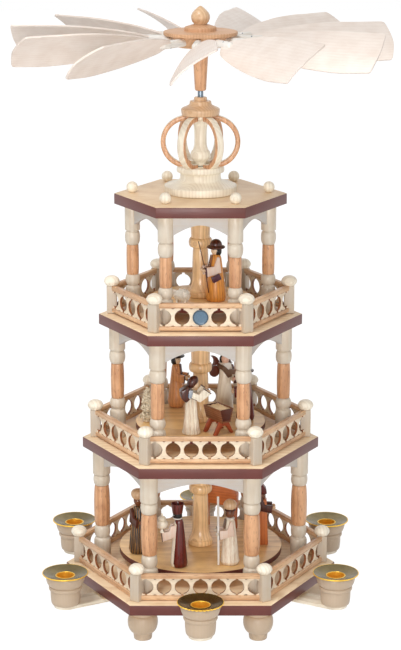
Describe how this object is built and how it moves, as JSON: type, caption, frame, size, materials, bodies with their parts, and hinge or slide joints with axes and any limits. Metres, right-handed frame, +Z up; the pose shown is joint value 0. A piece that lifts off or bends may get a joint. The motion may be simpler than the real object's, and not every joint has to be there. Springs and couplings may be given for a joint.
{
  "type": "candle carousel",
  "caption": "Storeyed wooden candle carousel: hexagonal decks on turned columns, candle cups round the base, and a bladed wheel on top that turns the figures.",
  "frame": {"origin": "on the axis of the shaft, on the ground under the feet", "axes": "+Z up along the shaft; -Y to the front, where a flat side of the base and one candle face"},
  "size_m": [0.3812, 0.3813, 0.6254],
  "materials": {
    "painted_edge": "maroon paint on the edges, pale lacquered wood on top",
    "cream_wood": "pale wood, clear lacquer",
    "beech_wood": "beech, clear lacquer",
    "brass": "polished drawn sheet",
    "steel": "ground bar",
    "turntable_wood": "pale wood, clear lacquer, maroon edge",
    "hub_wood": "turned light wood, clear lacquer",
    "blade_wood": "thin pale wood, clear lacquer",
    "ochre_stain": "ochre stain, matt",
    "pale_shavings": "bare curled shavings",
    "dark_stain": "dark brown stain, matt",
    "red_stain": "dark red stain, matt",
    "orange_stain": "orange-brown stain, matt"
  },
  "bodies": {
    "frame": {"base_board": "painted_edge", "middle_board": "painted_edge", "upper_board": "painted_edge", "roof_board": "painted_edge", "candle_holder_1": "cream_wood", "candle_holder_2": "cream_wood", "candle_holder_3": "cream_wood", "candle_holder_4": "cream_wood", "candle_holder_5": "cream_wood", "candle_holder_6": "cream_wood", "drip_tray_1": "brass", "drip_tray_2": "brass", "drip_tray_3": "brass", "drip_tray_4": "brass", "drip_tray_5": "brass", "drip_tray_6": "brass", "colonnade_lower": "cream_wood", "colonnade_middle": "cream_wood", "colonnade_upper": "cream_wood", "balustrade_lower": "beech_wood", "balustrade_middle": "beech_wood", "balustrade_upper": "beech_wood", "crown_base": "cream_wood", "crown_spindle": "beech_wood", "crown_cap": "beech_wood", "bearing_cup": "brass"},
    "rotor": {"rotor_shaft": "steel", "turntable_lower": "turntable_wood", "turntable_middle": "turntable_wood", "turntable_upper": "turntable_wood", "hub_column_lower": "hub_wood", "hub_column_middle": "hub_wood", "hub_column_upper": "hub_wood", "wheel_shank": "beech_wood", "wheel_hub": "hub_wood", "wheel_knob": "hub_wood", "shepherd": "ochre_stain", "sheep": "pale_shavings", "robed_woman": "cream_wood", "manger": "dark_stain", "herdsman": "beech_wood", "angel": "cream_wood", "drover": "red_stain", "shaving_tree": "pale_shavings", "king_striped": "dark_stain", "king_dark_red": "red_stain", "king_turbaned": "cream_wood", "king_orange": "orange_stain", "camel": "orange_stain"},
    "vane_01": {"blade_01": "blade_wood"},
    "vane_02": {"blade_02": "blade_wood"},
    "vane_03": {"blade_03": "blade_wood"},
    "vane_04": {"blade_04": "blade_wood"},
    "vane_05": {"blade_05": "blade_wood"},
    "vane_06": {"blade_06": "blade_wood"},
    "vane_07": {"blade_07": "blade_wood"},
    "vane_08": {"blade_08": "blade_wood"},
    "vane_09": {"blade_09": "blade_wood"},
    "vane_10": {"blade_10": "blade_wood"},
    "vane_11": {"blade_11": "blade_wood"}
  },
  "joints": [
    {"name": "rotor_spin", "type": "hinge", "parent": "frame", "child": "rotor", "pos_m": [0, 0, 0], "axis": [0, 0, 1], "continuous": true},
    {"name": "blade_pitch_01", "type": "hinge", "parent": "rotor", "child": "vane_01", "pos_m": [-0.00318, -0.04188, 0.59185], "axis": [-0.0757, -0.9971, 0], "range_deg": [-36, 54]},
    {"name": "blade_pitch_02", "type": "hinge", "parent": "rotor", "child": "vane_02", "pos_m": [-0.02532, -0.03351, 0.59185], "axis": [-0.6028, -0.7979, 0], "range_deg": [-36, 54]},
    {"name": "blade_pitch_03", "type": "hinge", "parent": "rotor", "child": "vane_03", "pos_m": [-0.03941, -0.01451, 0.59185], "axis": [-0.9385, -0.3454, 0], "range_deg": [-36, 54]},
    {"name": "blade_pitch_04", "type": "hinge", "parent": "rotor", "child": "vane_04", "pos_m": [-0.041, 0.00911, 0.59185], "axis": [-0.9762, 0.2168, 0], "range_deg": [-36, 54]},
    {"name": "blade_pitch_05", "type": "hinge", "parent": "rotor", "child": "vane_05", "pos_m": [-0.02957, 0.02983, 0.59185], "axis": [-0.704, 0.7102, 0], "range_deg": [-36, 54]},
    {"name": "blade_pitch_06", "type": "hinge", "parent": "rotor", "child": "vane_06", "pos_m": [-0.00875, 0.04108, 0.59185], "axis": [-0.2083, 0.9781, 0], "range_deg": [-36, 54]},
    {"name": "blade_pitch_07", "type": "hinge", "parent": "rotor", "child": "vane_07", "pos_m": [0.01485, 0.03929, 0.59185], "axis": [0.3535, 0.9354, 0], "range_deg": [-36, 54]},
    {"name": "blade_pitch_08", "type": "hinge", "parent": "rotor", "child": "vane_08", "pos_m": [0.03373, 0.02502, 0.59185], "axis": [0.8031, 0.5958, 0], "range_deg": [-36, 54]},
    {"name": "blade_pitch_09", "type": "hinge", "parent": "rotor", "child": "vane_09", "pos_m": [0.04191, 0.00281, 0.59185], "axis": [0.9978, 0.067, 0], "range_deg": [-36, 54]},
    {"name": "blade_pitch_10", "type": "hinge", "parent": "rotor", "child": "vane_10", "pos_m": [0.03678, -0.02029, 0.59185], "axis": [0.8756, -0.4831, 0], "range_deg": [-36, 54]},
    {"name": "blade_pitch_11", "type": "hinge", "parent": "rotor", "child": "vane_11", "pos_m": [0.01997, -0.03695, 0.59185], "axis": [0.4754, -0.8798, 0], "range_deg": [-36, 54]}
  ]
}
